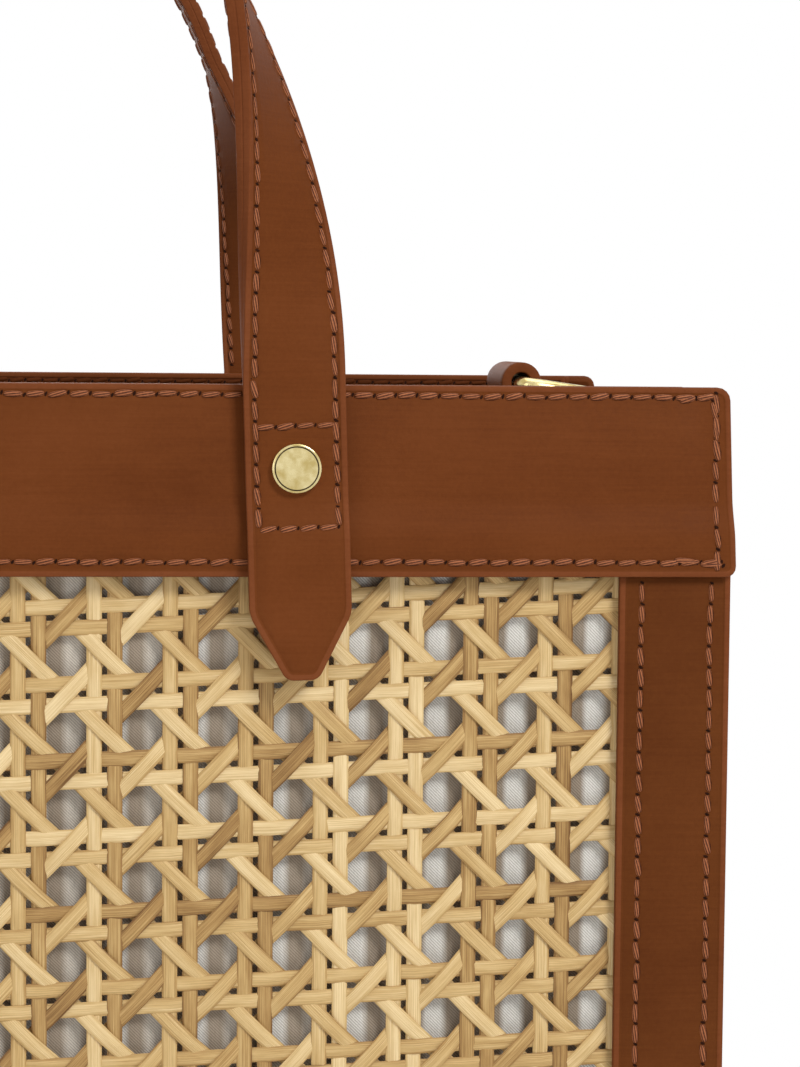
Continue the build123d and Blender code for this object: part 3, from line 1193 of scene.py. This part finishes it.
def onStrip(x, z):
    return Vector((x, -frontDepth, z)), Vector((0, -1, 0))


def onBand(x, z):
    return Vector((x, -bandDepth(z), z)), Vector((0, -1, 0))


def onInside(x, z):
    return Vector((x, -facing["depth"], z)), Vector((0, 1, 0))


def onGusset(y, z):
    return Vector((gusset["inner"] + gusset["thickness"] - drawnIn(y, z), y, z)), Vector((1, 0, 0))


def onTab(y, z):
    return Vector((ringTab["x"] + ringTab["legAside"] + ringTab["thickness"] / 2, y, z)), Vector((1, 0, 0))


def onStrap(upSide):
    def spot(along, aside):
        place, run, across = strapFrame(along)
        out = across.cross(run).normalized() * upSide
        return strapPoint(along, aside, upSide * handle["thickness"] / 2), out
    return spot


model = stitchModel()
top = bagTop - 1.7 * mm
low = bandLow + 2.5 * mm
bandRows = [levelRow(onBand, edge - 3 * mm, top), levelRow(onBand, edge - 2 * mm, low)]
bandEnds = (
    # inset from the band's end and height, at both ends of a row: the row up the end, and three rows
    # of back stitches that lock it
    ((2.7 * mm, bandLow + 0.9 * mm), (3 * mm, bagTop - 0.9 * mm)),
    ((10.5 * mm, low + 0.45 * mm), (1.6 * mm, low - 0.5 * mm)),
    ((9.5 * mm, top - 0.55 * mm), (3.2 * mm, top + 0.25 * mm)),
    ((2.5 * mm, top - 11 * mm), (3.5 * mm, top - 0.5 * mm)),
)
strip = {"outer": 3.4 * mm, "inner": 3.7 * mm, "low": 3.4 * mm, "high": bandLow - 1 * mm}
stripRows = []
for hand in (-1, 1):
    for (inset, z), (endInset, endZ) in bandEnds:
        bandRows.append(stitchRow(onBand, (hand * (edge - inset), z), (hand * (edge - endInset), endZ)))
    for x in (edge - strip["outer"], inner + strip["inner"]):
        stripRows.append(uprightRow(onStrip, hand * x, strip["low"], strip["high"]))
for z in (strip["low"], bag["stripWidth"] - strip["inner"]):
    stripRows.append(levelRow(onStrip, inner - 2 * mm, z))
facingRows = [levelRow(onInside, facing["halfWidth"] - 3 * mm, z) for z in (top, low)]

aside = handle["width"] / 2 - handle["stitchInset"]
boxLow = handle["tab"] - handle["boxLow"]
boxHigh = handle["tab"] - handle["boxHigh"]
insideStart = handle["tab"] + handle["insideStart"]
strapRows = []
for hand in (-1, 1):
    for upSide, start in ((1, boxLow), (-1, insideStart)):
        strapRows.append(stitchRow(onStrap(upSide), (start, hand * aside), (full - start, hand * aside)))
for along in (boxLow, boxHigh, full - boxHigh, full - boxLow):
    strapRows.append(uprightRow(onStrap(1), along, -aside, aside))

gussetTop = gusset["top"] - 2.4 * mm
gussetStart, gussetEnd = ringTab["width"] / 2 + 1 * mm, 66 * mm
tabEdge = ringTab["width"] / 2 - ringTab["stitchInset"]
tabLow, tabTop = ringTab["legLow"] + ringTab["stitchInset"], ringTab["stitchTop"]
gussetRows = [
    stitchRow(onGusset, (-gussetEnd, gussetTop), (-gussetStart, gussetTop)),
    stitchRow(onGusset, (gussetStart, gussetTop), (gussetEnd, gussetTop)),
    levelRow(onTab, tabEdge, tabLow),
    uprightRow(onTab, -tabEdge, tabLow, tabTop),
    uprightRow(onTab, tabEdge, tabLow, tabTop),
    levelRow(onTab, tabEdge, tabTop),
]
for name, rows in (
    ("front_band_stitches", bandRows),
    ("front_strip_stitches", stripRows),
    ("front_facing_stitches", facingRows),
    ("front_handle_stitches", strapRows),
    ("right_gusset_stitches", gussetRows),
):
    sewing = sewn(name, rows, model)
    if rows is facingRows:
        sewing.data.materials[0] = innerLeather
    handInPair(sewing)
bpy.data.objects.remove(model)
print("stitches made")

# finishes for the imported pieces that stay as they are
for name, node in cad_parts.items():
    if name == "base_panel":
        wear(node, saddleLeather)
    elif name == "base_board":
        wear(node, fibreBoard)
    elif "rivet" in name:
        wear(node, paleBrass)


# floor, light and camera

def seenDirectly(paint):
    # the camera and reflections see plain white, and the light that falls on the bag isn't raised
    rays = paint.add("LightPath").outputs
    mirrored = paint.combine("MAXIMUM", rays["Is Glossy Ray"], rays["Is Transmission Ray"])
    return paint.combine("MAXIMUM", rays["Is Camera Ray"], mirrored)


ground = addShape("floor", "plane", size=6, location=(0, 0, -0.5 * mm))
pale = Paint(speckled("pale floor", 0.86, 0.6, 3, 2, 0.84, 0.88))
distance = pale.add("VectorMath", operation="LENGTH")
pale.join(pale.where(), distance.inputs[0])
far = pale.add("MapRange", interpolation_type="SMOOTHSTEP", Value=distance.outputs["Value"],
               **{"From Min": 0.22, "From Max": 0.42})
glow = pale.add("Emission", Color=(1, 1, 1, 1), Strength=1)
share = pale.combine("MULTIPLY", far.outputs["Result"], seenDirectly(pale))
blend = pale.add("MixShader", Fac=share)
pale.join(pale.shader.outputs["BSDF"], blend.inputs[1])
pale.join(glow.outputs["Emission"], blend.inputs[2])
pale.join(blend.outputs["Shader"], pale.nodes["Material Output"].inputs["Surface"])
wear(ground, pale.owner)

world = bpy.data.worlds.new("studio")
bpy.context.scene.world = world
sky = Paint(world)
strength = sky.add("MapRange", Value=seenDirectly(sky), **{"To Min": 0.37, "To Max": 1})
sky.join((1, 1, 1, 1), sky.nodes["Background"].inputs["Color"])
sky.join(strength.outputs["Result"], sky.nodes["Background"].inputs["Strength"])

lamps = {
    # name: place, aim, size, power
    "key": ((0.75, -1.25, 1.25), (0, 0, 0.2), 0.5, 17),
    "fill": ((-1.3, -1.1, 0.6), (0, 0, 0.18), 1.2, 4.5),
    "top": ((0.1, 0.2, 1.6), (0, 0, 0.2), 1.2, 7),
    "rear": ((-0.4, 1.5, 0.9), (0, 0, 0.2), 1.2, 8),
}
for name, (place, aim, size, power) in lamps.items():
    lamp = bpy.data.lights.new(name, "AREA")
    lamp.size = size
    lamp.energy = power
    holder = bpy.data.objects.new(name, lamp)
    bpy.context.collection.objects.link(holder)
    holder.location = place
    holder.rotation_euler = (Vector(aim) - Vector(place)).to_track_quat("-Z", "Y").to_euler()

view = {
    "place": (0.05094, -0.5135, 0.25332),
    "yaw": radians(5.011),
    "pitch": radians(-4.154),
    "roll": radians(0.478),
    "lens": 89.22,
    "sensor": 36,
    "nearest": 0.01,
}
camera = bpy.data.cameras.new("camera")
camera.lens = view["lens"]
camera.sensor_width = view["sensor"]
camera.sensor_fit = "AUTO"
camera.clip_start = view["nearest"]
viewer = bpy.data.objects.new("camera", camera)
bpy.context.collection.objects.link(viewer)
yaw, pitch, roll = view["yaw"], view["pitch"], view["roll"]
ahead = Vector((sin(yaw) * cos(pitch), cos(yaw) * cos(pitch), sin(pitch)))
right = Vector((cos(yaw), -sin(yaw), 0))
up = right.cross(ahead)
rolledRight = cos(roll) * right + sin(roll) * up
rolledUp = -sin(roll) * right + cos(roll) * up
turn = Matrix((rolledRight, rolledUp, -ahead)).transposed().to_4x4()
viewer.matrix_world = Matrix.Translation(view["place"]) @ turn
bpy.context.scene.camera = viewer
bpy.context.scene.view_settings.view_transform = "Standard"
print("floor, light and camera made")
